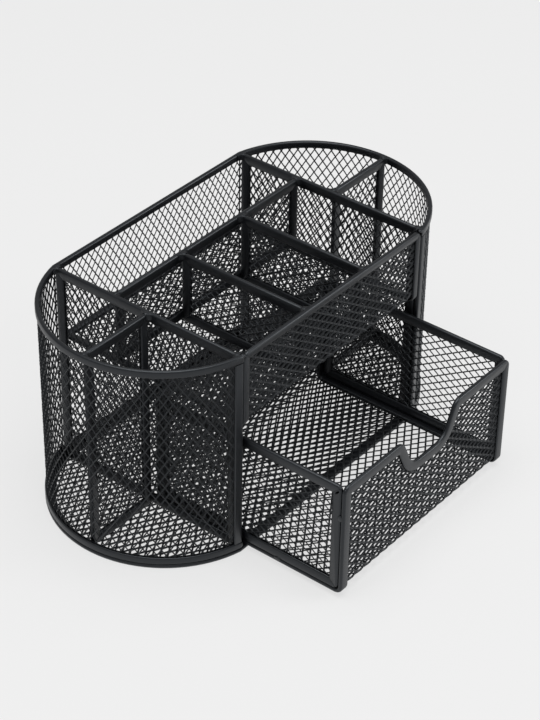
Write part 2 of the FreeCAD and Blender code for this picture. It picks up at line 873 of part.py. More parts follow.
def build_tray_mesh():
    half_span = drawer_half - sheet_edge
    window_half = (drawer_half - width).value
    window_high = (drawer_height - width).value
    low = fold_radius.value
    back = drawer_depth - fold_radius

    def under_strip(x, y):
        return y < notch_height(x)

    front_net = flat_net("drawer_front_mesh", front_outline(half_span, fold_radius, sheet_edge),
                         diamonds(-window_half, low, window_half, window_high, False, under_strip))
    floor_net = flat_net("drawer_floor_mesh", rectangle(-half_span, fold_radius, half_span, back),
                         diamonds(-window_half, low, window_half, back.value, False))
    back_net = flat_net("drawer_back_mesh", rectangle(-half_span, fold_radius, half_span,
                                                      drawer_height - sheet_edge),
                        diamonds(-window_half, low, window_half, window_high, False))
    front_sheet = place_in_plane(front_net, "XZ", (0, middle, 0))
    front_fold = fold(Vector(0, -1, 0), (fold_radius, fold_radius), Vector(0, 0, -1), half_span)
    back_sheet = place_in_plane(back_net, "XZ", (0, drawer_depth - middle, 0))
    back_fold = fold(Vector(0, 0, -1), (back, fold_radius), Vector(0, 1, 0), half_span)
    floor_place = (drawer_place[0], drawer_place[1], drawer_place[2] + middle)
    add_sheet("drawer_front_mesh", front_sheet.fuse(front_fold), drawer_place)
    add_sheet("drawer_floor_mesh", floor_net, floor_place)
    add_sheet("drawer_back_mesh", back_sheet.fuse(back_fold), drawer_place)


def build_drawer_sides():
    span = drawer_depth - thick * 2
    rise = drawer_height - thick
    near = -(drawer_half - middle)
    for name, place in (("drawer_near_side", near), ("drawer_far_side", -near)):
        corner_place = (place, drawer_place[1] + thick, drawer_place[2] + thick)
        bound_panel(name, "YZ", span, rise, corner_place, False)


build_base()
build_rims()
build_posts()
build_rear_net()
build_end_nets()
build_cross_panels()
build_long_divider()
build_end_dividers()
build_shelf()
build_pen_dividers()
build_tray_channel()
build_tray_mesh()
build_drawer_sides()
doc.recompute()

for name, count in gap_counts.items():
    print(name, "has", count, "openings")

faults = []
for item in doc.Objects:
    if "Invalid" in item.State or "Error" in item.State:
        faults.append(f"{item.Label} is {item.State}")
sub_parts = [
    item for item in doc.Objects
    if item.TypeId == "PartDesign::Body" or item.TypeId == "Part::Feature"
]
for item in sub_parts:
    if item.Shape.isNull() or not item.Shape.isValid():
        faults.append(f"{item.Label} has no valid shape")
    elif len(item.Shape.Solids) != 1:
        faults.append(f"{item.Label} has {len(item.Shape.Solids)} solids")
if faults:
    raise RuntimeError("; ".join(faults))

os.makedirs("parts", exist_ok=True)
for item in sub_parts:
    item.Shape.exportStep(f"parts/{item.Label}.step")
print(len(sub_parts), "sub-parts written")
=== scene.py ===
import bmesh
import bpy
import math
from mathutils import Matrix, Vector


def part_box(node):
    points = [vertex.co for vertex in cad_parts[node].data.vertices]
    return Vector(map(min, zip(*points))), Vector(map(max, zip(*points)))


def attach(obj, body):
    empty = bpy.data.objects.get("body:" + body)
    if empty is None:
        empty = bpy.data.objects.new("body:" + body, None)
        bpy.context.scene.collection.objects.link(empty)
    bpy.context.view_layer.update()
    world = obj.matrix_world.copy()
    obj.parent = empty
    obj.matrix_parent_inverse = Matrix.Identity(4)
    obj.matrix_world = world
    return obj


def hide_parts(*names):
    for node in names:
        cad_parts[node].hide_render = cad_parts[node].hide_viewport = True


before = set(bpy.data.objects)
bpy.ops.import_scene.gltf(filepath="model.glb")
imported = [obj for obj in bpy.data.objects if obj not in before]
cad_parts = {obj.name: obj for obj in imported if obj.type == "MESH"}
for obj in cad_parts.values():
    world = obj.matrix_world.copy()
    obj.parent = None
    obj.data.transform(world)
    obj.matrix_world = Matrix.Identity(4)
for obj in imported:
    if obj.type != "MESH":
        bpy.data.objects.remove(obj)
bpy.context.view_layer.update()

mm = 0.001

# Edge strips, folded from flat steel
strip = {
    "width": 5.0 * mm,
    "rimWidth": 3.8 * mm,        # round the shelf's folded sheet
    "foldRadius": 0.95 * mm,     # where the strip turns over the sheet's edge
    "foldSteps": 4,
    "lipRadius": 0.75 * mm,      # where its other edges curl in to the sheet
    "lipSteps": 3,
    "cornerRadius": 3.0 * mm,
    "cornerSteps": 4,
    "bendRadius": 4.0 * mm,      # the folds and corners of the shelf's and the tray's channels
    "bendSteps": 6,
    "arcSteps": 40,              # along a rounded end
    "steel": 0.5 * mm,           # the strip's own metal
    "edgeRadius": 0.14 * mm,
    "edgeSteps": 2,
    "edgeAngle": math.radians(50.0),     # edges that turn by more are rounded
    "smoothAngle": math.radians(32.0),
    "squareness": 0.95,          # how much of a square end's normal lies along one axis
    "merge": 0.05 * mm,
}

# The expanded sheet, at its real pitch
net = {
    "longPitch": 6.45 * mm,
    "shortPitch": 4.1 * mm,
    "bar": 0.52 * mm,
    "thick": 0.38 * mm,
    "tilt": 0.24 * mm,           # how far a strand's two edges stand out of the sheet
    "foldedBar": 0.78 * mm,      # the shelf's and the tray's sheets have broader, steeper strands
    "foldedTilt": 0.4 * mm,
    "baseBar": 0.76 * mm,
    "baseShift": 1.4 * mm,       # backwards, so that its holes don't lie under the tray's
    "hiddenEdge": 3.4 * mm,      # cut sheet edges end this deep inside their strip
}


def low(node):
    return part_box(node)[0]


def high(node):
    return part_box(node)[1]


def middle(node):
    return [(a + b) / 2 for a, b in zip(*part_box(node))]


# Where the main sheets and panels lie, read from the frame
rimLow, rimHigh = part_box("base_rim")
midY = (rimLow[1] + rimHigh[1]) / 2
halfLength = (rimHigh[0] - rimLow[0]) / 2
halfDepth = (rimHigh[1] - rimLow[1]) / 2
straightHalf = middle("far_cross_frame")[0]
stripThick = high("far_cross_frame")[0] - low("far_cross_frame")[0]
endBulge = halfLength - straightHalf
endRadius = (halfDepth ** 2 + endBulge ** 2) / (2 * endBulge)
endCentre = halfLength - endRadius
innerHalf = straightHalf - stripThick / 2
sheetBend = strip["bendRadius"] - stripThick / 2     # the folded sheets' own radius
print("frame loaded")


# Editing helpers

def startPiece(name):            # the object just added becomes the piece
    piece = bpy.context.object
    piece.name = name
    piece.data.name = name
    return piece


def editMode():
    bpy.ops.object.mode_set(mode="EDIT")


def objectMode():
    bpy.ops.object.mode_set(mode="OBJECT")


def alone(piece):
    bpy.ops.object.select_all(action="DESELECT")
    piece.select_set(True)
    bpy.context.view_layer.objects.active = piece


def editMesh():
    return bmesh.from_edit_mesh(bpy.context.edit_object.data)


# Select the vertices, edges or faces that pass a test, and nothing else
def pick(kind, wanted):
    bpy.ops.mesh.select_mode(type={"verts": "VERT", "edges": "EDGE", "faces": "FACE"}[kind])
    bpy.ops.mesh.select_all(action="DESELECT")
    work = editMesh()
    for item in getattr(work, kind):
        if wanted(item):
            item.select_set(True)
    work.select_flush_mode()
    bmesh.update_edit_mesh(bpy.context.edit_object.data)


def applyModifier(piece, kind, **settings):
    modifier = piece.modifiers.new(kind.title(), kind)
    for key, value in settings.items():
        setattr(modifier, key, value)
    bpy.ops.object.modifier_apply(modifier=modifier.name)


def applyPlace():
    bpy.ops.object.transform_apply(location=True, rotation=True, scale=True)


def finishPiece(piece, body, material, nodes=()):
    piece.data.materials.clear()
    piece.data.materials.append(material)
    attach(piece, body)
    if nodes:
        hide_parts(*nodes)
    bpy.ops.object.select_all(action="DESELECT")


# Shader building

# A shader socket that can be used in a sum
class Wire:
    def __init__(self, maker, socket):
        self.maker = maker
        self.socket = socket

    def combine(self, operation, other):
        return self.maker.node("ShaderNodeMath", {"operation": operation}, [self, other])

    def __add__(self, other):
        return self.combine("ADD", other)

    def __sub__(self, other):
        return self.combine("SUBTRACT", other)

    def __mul__(self, other):
        return self.combine("MULTIPLY", other)


class Shader:                    # a material and its nodes
    def __init__(self, name):
        self.material = bpy.data.materials.new(name)
        self.material.use_nodes = True
        self.tree = self.material.node_tree
        self.tree.nodes.clear()

    def node(self, kind, settings=None, inputs=(), output=0):
        made = self.tree.nodes.new(kind)
        for key, value in (settings or {}).items():
            if key == "stops":
                ramp = made.color_ramp
                for stop, (place, colour) in zip(ramp.elements, value):
                    stop.position = place
                    stop.color = colour
            else:
                setattr(made, key, value)
        pairs = inputs.items() if isinstance(inputs, dict) else enumerate(inputs)
        for key, value in pairs:
            if isinstance(value, Wire):
                self.tree.links.new(value.socket, made.inputs[key])
            else:
                made.inputs[key].default_value = value
        return Wire(self, made.outputs[output]) if made.outputs else None

    def output(self, surface):
        self.node("ShaderNodeOutputMaterial", None, {"Surface": surface})
        return self.material


coat = {
    "strip": {"colour": (0.0045, 0.005, 0.0062, 1), "worn": (0.011, 0.012, 0.014, 1), "roughness": 0.38},
    "net": {"colour": (0.0055, 0.006, 0.007, 1), "worn": (0.012, 0.013, 0.0145, 1), "roughness": 0.42},
    "sheen": (0.88, 0.94, 1.0, 1),  # the tint of its reflections
    "grain": (2600.0, 2.0),      # each noise's scale, per metre, and its detail
    "cloud": (45.0, 4.0),
    "dust": (900.0, 1.0),
    "rubbedEnds": (0.4, 0.75),   # where the clouding, or the dust, begins to show and shows fully
    "dustyEnds": (0.68, 0.8),
    "rubbedWear": 0.45,
    "dustyWear": 0.35,
    "cloudRoughness": 0.12,
    "grainRoughness": 0.05,
    "bump": 0.12,
    "bumpDistance": 0.05 * mm,
}


# Black powder coat: a fine orange peel, faint clouding, and patches of rubbed wear and dust spread by
# noise
def powderCoat(name, look):
    shade = Shader(name)
    place = shade.node("ShaderNodeTexCoord", output="Object")

    def noise(kind):
        scale, detail = coat[kind]
        return shade.node("ShaderNodeTexNoise", {"noise_dimensions": "3D"},
                          {"Vector": place, "Scale": scale, "Detail": detail})

    def ramp(source, ends):
        stops = zip(ends, ((0, 0, 0, 1), (1, 1, 1, 1)))
        return shade.node("ShaderNodeValToRGB", {"stops": stops}, {"Fac": source})

    grain, cloud, speck = noise("grain"), noise("cloud"), noise("dust")
    dusty = ramp(speck, coat["dustyEnds"])
    rubbed = ramp(cloud, coat["rubbedEnds"])
    wear = rubbed * coat["rubbedWear"] + dusty * coat["dustyWear"]
    # 6, 7 and 2 are the node's colour sockets
    colour = shade.node("ShaderNodeMix", {"data_type": "RGBA"},
                        {"Factor": wear, 6: look["colour"], 7: look["worn"]}, output=2)
    roughness = ((cloud - 0.5) * coat["cloudRoughness"] + (grain - 0.5) * coat["grainRoughness"]
                 + look["roughness"])
    relief = shade.node("ShaderNodeBump", None,
                        {"Strength": coat["bump"], "Distance": coat["bumpDistance"], "Height": grain})
    surface = shade.node("ShaderNodeBsdfPrincipled", None,
                         {"Base Color": colour, "Roughness": roughness, "Normal": relief,
                          "Specular Tint": coat["sheen"]})
    return shade.output(surface)


stripCoat = powderCoat("stripCoat", coat["strip"])
netCoat = powderCoat("netCoat", coat["net"])
print("materials made")


# Expanded sheets

# Turn a grid of quads into strands; shortPlace orders the two near corners of a hole
def expandSheet(shortPlace, bar=net["bar"], tilt=net["tilt"]):
    bpy.ops.mesh.select_mode(type="FACE")
    bpy.ops.mesh.select_all(action="SELECT")
    bpy.ops.mesh.poke()
    pick("edges", lambda edge: len(edge.link_faces) == 2
         and all(len(end.link_edges) != 4 for end in edge.verts))
    bpy.ops.mesh.dissolve_edges(use_verts=False)
    bpy.ops.mesh.select_mode(type="FACE")
    bpy.ops.mesh.select_all(action="SELECT")
    bpy.ops.mesh.inset(thickness=bar / 2, use_individual=True)
    work = editMesh()
    raised, sunk = set(), set()
    for hole in work.faces:
        if hole.select and len(hole.verts) == 4:
            corners = list(hole.verts)
            spans = [(corners[k].co - corners[k + 2].co).length for k in (0, 1)]
            first = 0 if spans[0] < spans[1] else 1
            pair = sorted((corners[first], corners[first + 2]), key=lambda v: shortPlace(v.co))
            sunk.add(pair[0].index)
            raised.add(pair[1].index)
    bpy.ops.mesh.delete(type="FACE")
    for chosen, reach in ((raised, tilt), (sunk, -tilt)):
        pick("verts", lambda vert: vert.index in chosen)
        bpy.ops.transform.shrink_fatten(value=reach)


# Turn every face the way that the first one at a place should look
def faceTowards(wanted, direction):
    first = next(face for face in editMesh().faces if wanted(face.calc_center_median()))
    if first.normal.dot(Vector(direction)) < 0:
        bpy.ops.mesh.select_all(action="SELECT")
        bpy.ops.mesh.flip_normals()


def thickenSheet(piece):
    objectMode()
    applyModifier(piece, "SOLIDIFY", thickness=net["thick"], offset=0)
    bpy.ops.object.shade_flat()


planeTurn = {
    "XY": (0, 0, 0),
    "XZ": (math.pi / 2, 0, 0),
    "YZ": (math.pi / 2, 0, math.pi / 2),
}
planeAxes = {"XY": (0, 1), "XZ": (0, 2), "YZ": (1, 2)}


def steps(span, pitch):
    return max(1, round(span / pitch))


# A grid of quads over a flat node's sheet
def flatGrid(name, plane, node, longAxis, shiftBack=0.0):
    across, up = planeAxes[plane]
    lowest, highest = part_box(node)
    spans = (highest[across] - lowest[across], highest[up] - lowest[up])
    pitches = [net["longPitch"] if axis == longAxis else net["shortPitch"] for axis in (across, up)]
    centre = Vector(middle(node)) + Vector((0, shiftBack, 0))
    bpy.ops.object.select_all(action="DESELECT")
    bpy.ops.mesh.primitive_grid_add(
        x_subdivisions=steps(spans[0], pitches[0]), y_subdivisions=steps(spans[1], pitches[1]),
        size=1, location=centre, rotation=planeTurn[plane])
    piece = startPiece(name)
    piece.scale = (spans[0], spans[1], 1)
    applyPlace()
    editMode()
    return piece


def flatNet(name, plane, node, body, longAxis):
    piece = flatGrid(name, plane, node, longAxis)
    across, up = planeAxes[plane]
    shortAxis = up if longAxis == across else across
    expandSheet(lambda co: co[shortAxis])
    thickenSheet(piece)
    finishPiece(piece, body, netCoat, [node])


# A row of edges along an axis, ready to be swept into a grid
def lineOfEdges(name, axis, count, start, span):
    bpy.ops.object.select_all(action="DESELECT")
    centre = list(start)
    centre[axis] += span / 2
    turn = (0, math.pi / 2, 0) if axis == 2 else (0, 0, 0)
    bpy.ops.mesh.primitive_grid_add(x_subdivisions=count, y_subdivisions=1, size=1,
                                    location=centre, rotation=turn)
    piece = startPiece(name)
    piece.scale = (span, mm, 1)
    applyPlace()
    editMode()
    side = start[1]
    pick("verts", lambda vert: vert.co.y > side)
    bpy.ops.mesh.delete(type="VERT")
    bpy.ops.mesh.select_all(action="SELECT")
    bpy.ops.transform.translate(value=(0, mm / 2, 0))
    return piece


# Extrude what is selected along a move, in equal steps
def sweepOn(move, count=1):
    step = [amount / count for amount in move]
    for _ in range(count):
        bpy.ops.mesh.extrude_region_move(TRANSFORM_OT_translate={"value": step})


# Turn what is selected about an axis by a right-handed angle, in equal steps
def sweepRound(centre, axis, angle, count):
    bpy.ops.mesh.spin(steps=count, angle=-angle, center=centre, axis=axis)


# The sheet round one rounded end; side is -1 for the near end and 1 for the far
def endNet(name, side):
    nodes = [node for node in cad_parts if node.startswith(name.replace("_net", "_mesh"))]
    lowest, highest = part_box(nodes[0])
    radius = endRadius - stripThick / 2
    grip = min(abs(corner[0]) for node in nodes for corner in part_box(node))
    frontAngle = math.acos((grip - endCentre) / radius)
    rearAngle = math.asin((halfDepth - stripThick / 2) / radius)
    rise = highest[2] - lowest[2]
    start = (side * (endCentre + radius * math.cos(frontAngle)),
             midY - radius * math.sin(frontAngle), lowest[2])
    piece = lineOfEdges(name, 2, steps(rise, net["longPitch"]), start, rise)
    turn = frontAngle + rearAngle
    columns = steps(turn * radius, net["shortPitch"])
    sweepRound((side * endCentre, midY, 0), (0, 0, 1), side * turn, columns)
    faceTowards(lambda co: co.y < midY, (side, -1, 0))
    expandSheet(lambda co: -side * math.atan2(co.y - midY, side * co.x - endCentre))
    thickenSheet(piece)
    finishPiece(piece, "stand", netCoat, nodes)


flatSheets = [
    # node, plane, body, axis of the long diamonds
    ("rear_mesh", "XZ", "stand", 2),
    ("near_cross_mesh", "YZ", "stand", 2),
    ("far_cross_mesh", "YZ", "stand", 2),
    ("long_divider_mesh", "XZ", "stand", 0),
    ("near_end_divider_mesh", "XZ", "stand", 2),
    ("far_end_divider_mesh", "XZ", "stand", 2),
    ("near_pen_divider_mesh", "YZ", "stand", 1),
    ("far_pen_divider_mesh", "YZ", "stand", 1),
    ("drawer_near_side_mesh", "YZ", "drawer", 1),
    ("drawer_far_side_mesh", "YZ", "drawer", 1),
]
for node, plane, body, longAxis in flatSheets:
    flatNet(node.replace("_mesh", "_net"), plane, node, body, longAxis)
endNet("near_end_net", -1)
endNet("far_end_net", 1)
print("flat and rounded sheets made")


def insideBase(place, inset):    # in plan, at an inset from the base's outline
    reach = max(abs(place.x) - endCentre, 0)
    across = abs(place.y - midY)
    return across < halfDepth - inset and math.hypot(reach, across) < endRadius - inset


def baseNet():
    piece = flatGrid("base_net", "XY", "base_mesh", 0, net["baseShift"])
    expandSheet(lambda co: -co.y, net["baseBar"], net["foldedTilt"])
    pick("faces", lambda face: not insideBase(face.calc_center_median(), net["hiddenEdge"]))
    bpy.ops.mesh.delete(type="FACE")
    thickenSheet(piece)
    finishPiece(piece, "stand", netCoat, ["base_mesh"])


baseNet()


# The upper front panel and the shelf, one sheet folded along the front's lower edge
def shelfNet():
    lowest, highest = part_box("front_panel_mesh")
    shelfBack = high("shelf_mesh")[1]
    frontY = low("shelf_channel")[1] + stripThick / 2
    shelfZ = low("shelf_channel")[2] + stripThick / 2
    span = highest[0] - lowest[0]
    start = (lowest[0], frontY, highest[2])
    piece = lineOfEdges("shelf_net", 0, steps(span, net["longPitch"]), start, span)
    drop = highest[2] - shelfZ - sheetBend
    sweepOn((0, 0, -drop), steps(drop, net["shortPitch"]))
    sweepRound((0, frontY + sheetBend, shelfZ + sheetBend), (1, 0, 0), math.pi / 2, 1)
    back = shelfBack - frontY - sheetBend
    sweepOn((0, back, 0), steps(back, net["shortPitch"]))
    faceTowards(lambda co: co.z > shelfZ + strip["bendRadius"], (0, -1, 0))
    expandSheet(lambda co: co.z - co.y, net["foldedBar"], net["foldedTilt"])
    thickenSheet(piece)
    finishPiece(piece, "stand", netCoat, ["front_panel_mesh", "shelf_mesh"])


shelfNet()

# The notch in the drawer's front
notch = {
    "depth": 17.0 * mm,
    "bottomHalf": 6.5 * mm,
    "shoulderRadius": 6.0 * mm,
    "rootRadius": 9.0 * mm,
    "angle": math.radians(65.0),
    "steps": 7,
    "slack": 0.15 * mm,
}
notchSine, notchCosine = math.sin(notch["angle"]), math.cos(notch["angle"])
notchRadii = notch["shoulderRadius"] + notch["rootRadius"]
flank = (notch["depth"] - notchRadii * (1 - notchCosine)) / notchSine
topHalf = notch["bottomHalf"] + notchRadii * notchSine + flank * notchCosine


# Height of the drawer front's notched edge at an inset, for a top edge at a height
def notchHeight(x, top, inset):
    place = abs(x)
    shoulder = notch["shoulderRadius"] - inset
    root = notch["rootRadius"] + inset
    upper = top - inset
    lower = upper - notch["depth"]
    if place >= topHalf:
        return upper
    if place >= topHalf - shoulder * notchSine:
        return upper - shoulder + math.sqrt(shoulder ** 2 - (topHalf - place) ** 2)
    rootStart = notch["bottomHalf"] + root * notchSine
    if place >= rootStart:
        return lower + root * (1 - notchCosine) + (place - rootStart) * math.tan(notch["angle"])
    reach = max(place - notch["bottomHalf"], 0)
    return lower + root - math.sqrt(root ** 2 - reach ** 2)


# The drawer's front, floor and back, one folded sheet cut away over the notch
def trayNet():
    lowest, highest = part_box("drawer_back_mesh")
    outerLow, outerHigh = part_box("drawer_tray_channel")
    frontY = outerLow[1] + stripThick / 2
    backY = outerHigh[1] - stripThick / 2
    floorZ = outerLow[2] + stripThick / 2
    span = highest[0] - lowest[0]
    start = (lowest[0], frontY, highest[2])
    piece = lineOfEdges("drawer_tray_net", 0, steps(span, net["longPitch"]), start, span)
    drop = highest[2] - floorZ - sheetBend
    sweepOn((0, 0, -drop), steps(drop, net["shortPitch"]))
    sweepRound((0, frontY + sheetBend, floorZ + sheetBend), (1, 0, 0), math.pi / 2, 1)
    along = backY - frontY - 2 * sheetBend
    sweepOn((0, along, 0), steps(along, net["shortPitch"]))
    sweepRound((0, backY - sheetBend, floorZ + sheetBend), (1, 0, 0), math.pi / 2, 1)
    sweepOn((0, 0, drop), steps(drop, net["shortPitch"]))
    faceTowards(lambda co: co.z > strip["bendRadius"] * 2 and co.y < frontY + sheetBend, (0, -1, 0))

    def shortPlace(co):
        if co.y < frontY + sheetBend / 2:
            return co.z
        return -co.z if co.y > backY - sheetBend / 2 else -co.y

    expandSheet(shortPlace, net["foldedBar"], net["foldedTilt"])
    top = outerHigh[2]

    def overNotch(face):
        centre = face.calc_center_median()
        onFront = centre.y < frontY + sheetBend / 2
        return onFront and centre.z > notchHeight(centre.x, top, net["hiddenEdge"])

    pick("faces", overNotch)
    bpy.ops.mesh.delete(type="FACE")
    thickenSheet(piece)
    finishPiece(piece, "drawer", netCoat,
                ["drawer_front_mesh", "drawer_floor_mesh", "drawer_back_mesh"])


trayNet()
print("folded sheets made")

# Edge strips: a flat ribbon along the sheet's edges becomes a folded channel of thin steel

def startEmpty(name):
    bpy.ops.object.select_all(action="DESELECT")
    bpy.ops.mesh.primitive_plane_add(size=mm)
    piece = startPiece(name)
    editMode()
    bpy.ops.mesh.delete(type="VERT")
    return piece


def startPoint(name, place):
    bpy.ops.object.select_all(action="DESELECT")
    bpy.ops.mesh.primitive_plane_add(size=mm, location=place)
    piece = startPiece(name)
    applyPlace()
    editMode()
    bpy.ops.mesh.select_mode(type="VERT")
    bpy.ops.mesh.select_all(action="SELECT")
    bpy.ops.mesh.merge(type="CENTER")
    return piece


# A flat ring of ribbon round a rectangle, added to the mesh being edited
def addRing(plane, lowest, highest, width=strip["width"]):
    centre = [(a + b) / 2 for a, b in zip(lowest, highest)]
    bpy.ops.mesh.select_all(action="DESELECT")
    bpy.ops.mesh.primitive_plane_add(size=1, location=centre, rotation=planeTurn[plane])
    spans = [b - a or 1 for a, b in zip(lowest, highest)]        # the flat direction keeps its scale
    bpy.ops.transform.resize(value=spans, center_override=centre)
    bpy.ops.mesh.select_mode(type="FACE")
    bpy.ops.mesh.inset(thickness=width)
    bpy.ops.mesh.delete(type="FACE")


def ringFromOutline():           # the closed line that is drawn becomes a flat ring of ribbon
    bpy.ops.mesh.select_all(action="SELECT")
    bpy.ops.mesh.remove_doubles(threshold=strip["merge"])
    bpy.ops.mesh.edge_face_add()
    bpy.ops.mesh.select_mode(type="FACE")
    bpy.ops.mesh.inset(thickness=strip["width"])
    bpy.ops.mesh.delete(type="FACE")


# Trim an outer corner round, with planes that touch its arc; axes are the ribbon's own two
def roundCorner(axes, corner, signs, radius):
    bpy.ops.mesh.select_mode(type="FACE")
    for number in range(1, strip["cornerSteps"]):
        angle = math.pi / 2 * number / strip["cornerSteps"]
        normal = [0, 0, 0]
        normal[axes[0]] = signs[0] * math.cos(angle)
        normal[axes[1]] = signs[1] * math.sin(angle)
        place = [0, 0, 0]
        for axis, value, sign in zip(axes, corner, signs):
            place[axis] = value - sign * radius + radius * normal[axis]
        bpy.ops.mesh.select_all(action="SELECT")
        bpy.ops.mesh.bisect(plane_co=place, plane_no=normal, clear_outer=True)


def cutAway(axis, value, sign, wanted=lambda face: True):
    normal = [0, 0, 0]
    normal[axis] = sign
    place = [0, 0, 0]
    place[axis] = value
    pick("faces", wanted)
    bpy.ops.mesh.bisect(plane_co=place, plane_no=normal, clear_outer=True)


# Part the ribbon along the diagonal joints at its corners
def splitMitres(isMitre):
    pick("edges", lambda edge: len(edge.link_faces) == 2 and isMitre(edge.verts[0].co, edge.verts[1].co))
    bpy.ops.mesh.edge_split(type="EDGE")


def insideRounded(co, axes, centre, halves, radius):
    reach = [abs(co[axis] - centre[axis]) - (half - radius) for axis, half in zip(axes, halves)]
    if min(reach) > 0:
        return radius - math.hypot(*reach)
    return radius - max(reach)


def squareEnd(face):             # not a diagonal joint
    return max(abs(part) for part in face.normal) > strip["squareness"]


def facesUp(face):               # or down
    return abs(face.normal.z) > 0.5


# onOuter tells where the steel is folded over the sheet's edge, isLip where it curls in to the
# sheet; every other edge of the ribbon stays open
def foldStrip(piece, onOuter, isLip=squareEnd):
    bpy.ops.mesh.select_all(action="SELECT")
    bpy.ops.mesh.normals_make_consistent(inside=False)
    objectMode()
    piece.data.materials.clear()
    piece.data.materials.append(stripCoat)
    piece.data.materials.append(netCoat)         # marks the rim until the fold is made
    applyModifier(piece, "SOLIDIFY", thickness=stripThick, offset=0, use_even_offset=True,
                  use_quality_normals=True, material_offset_rim=1)
    editMode()

    def isRim(face):
        return face.material_index == 1

    def isFold(face):
        return isRim(face) and all(onOuter(vert.co) for vert in face.verts)

    def isInner(face):
        return isRim(face) and not isFold(face)

    def atRim(edge, wanted):         # between the strip's side and a rim face of the wanted kind
        sides = [face for face in edge.link_faces if not isRim(face)]
        return sides and any(wanted(face) for face in edge.link_faces)

    pick("faces", lambda face: isInner(face) and not isLip(face))
    bpy.ops.mesh.delete(type="ONLY_FACE")
    pick("edges", lambda edge: atRim(edge, isInner))
    bpy.ops.mesh.bevel(offset=strip["lipRadius"], segments=strip["lipSteps"], affect="EDGES", material=0)
    pick("faces", isInner)
    bpy.ops.mesh.delete(type="ONLY_FACE")
    pick("edges", lambda edge: atRim(edge, isFold))
    bpy.ops.mesh.bevel(offset=strip["foldRadius"], segments=strip["foldSteps"], affect="EDGES")
    objectMode()
    for face in piece.data.polygons:
        face.material_index = 0
    applyModifier(piece, "SOLIDIFY", thickness=strip["steel"], offset=-1, use_even_offset=True,
                  use_quality_normals=True)
    applyModifier(piece, "BEVEL", width=strip["edgeRadius"], segments=strip["edgeSteps"],
                  limit_method="ANGLE", angle_limit=strip["edgeAngle"])
    bpy.ops.object.shade_smooth_by_angle(angle=strip["smoothAngle"])


# The slot that pressing leaves in the joint at the upper front corner of the drawer's near side
pressSlot = {
    "back": 2.2 * mm,
    "down": 3.7 * mm,
    "radii": (0.9 * mm, 0.5 * mm, 1.6 * mm),
    "lean": math.radians(40.0),
    "segments": 18,
    "rings": 10,
}


def cutPressSlot(piece, node):
    lowest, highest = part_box(node)
    bpy.ops.object.select_all(action="DESELECT")
    bpy.ops.mesh.primitive_uv_sphere_add(
        segments=pressSlot["segments"], ring_count=pressSlot["rings"], radius=1,
        rotation=(pressSlot["lean"], 0, 0),
        location=(lowest[0], lowest[1] + pressSlot["back"], highest[2] - pressSlot["down"]))
    cutter = startPiece("press_cutter")
    cutter.scale = pressSlot["radii"]
    applyPlace()
    alone(piece)
    applyModifier(piece, "BOOLEAN", object=cutter, operation="DIFFERENCE", solver="FAST")
    alone(cutter)
    bpy.ops.object.delete()


def frameStrip(node, plane, body):
    axes = planeAxes[plane]
    lowest, highest = [list(corner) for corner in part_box(node)]
    centre = middle(node)
    normal = 3 - axes[0] - axes[1]
    lowest[normal] = highest[normal] = centre[normal]
    piece = startEmpty(node.replace("_frame", "_strip"))
    addRing(plane, lowest, highest)
    halves = [(highest[axis] - lowest[axis]) / 2 for axis in axes]
    radius, limit = strip["cornerRadius"], strip["merge"]
    for signs in ((-1, -1), (-1, 1), (1, -1), (1, 1)):
        corner = [(highest if sign > 0 else lowest)[axis] for axis, sign in zip(axes, signs)]
        roundCorner(axes, corner, signs, radius)
    splitMitres(lambda a, b: True)
    foldStrip(piece, lambda co: insideRounded(co, axes, centre, halves, radius) < limit)
    if node == "drawer_near_side_frame":
        cutPressSlot(piece, node)
    finishPiece(piece, body, stripCoat, [node])


frames = [
    ("near_cross_frame", "YZ", "stand"),
    ("far_cross_frame", "YZ", "stand"),
    ("long_divider_frame", "XZ", "stand"),
    ("near_end_divider_frame", "XZ", "stand"),
    ("far_end_divider_frame", "XZ", "stand"),
    ("near_pen_divider_frame", "YZ", "stand"),
    ("far_pen_divider_frame", "YZ", "stand"),
    ("drawer_near_side_frame", "YZ", "drawer"),
    ("drawer_far_side_frame", "YZ", "drawer"),
]
for node, plane, body in frames:
    frameStrip(node, plane, body)
print("panel strips made")

# The wall's own line in plan, midway through its thickness
wallRadius = endRadius - stripThick / 2
wallSide = halfDepth - stripThick / 2
wallTurn = math.asin(wallSide / wallRadius)
wallCorner = endCentre + wallRadius * math.cos(wallTurn)


# The strip round the wall's top or bottom edge, over its three nodes
def rimStrip(name, foldsUp):
    nodes = [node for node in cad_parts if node.startswith(name)]
    lowest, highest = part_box(nodes[0])
    rise = highest[2] - lowest[2]
    piece = lineOfEdges(name + "_strip", 2, 1, (-innerHalf, midY - wallSide, lowest[2]), rise)
    sweepOn((innerHalf - wallCorner, 0, 0))
    sweepRound((-endCentre, midY, 0), (0, 0, 1), -2 * wallTurn, strip["arcSteps"])
    sweepOn((2 * wallCorner, 0, 0))
    sweepRound((endCentre, midY, 0), (0, 0, 1), -2 * wallTurn, strip["arcSteps"])
    sweepOn((innerHalf - wallCorner, 0, 0))
    fold = highest[2] if foldsUp else lowest[2]
    foldStrip(piece, lambda co: abs(co.z - fold) < strip["merge"], facesUp)
    finishPiece(piece, "stand", stripCoat, nodes)


rimStrip("top_rim", True)
rimStrip("bottom_rim", False)


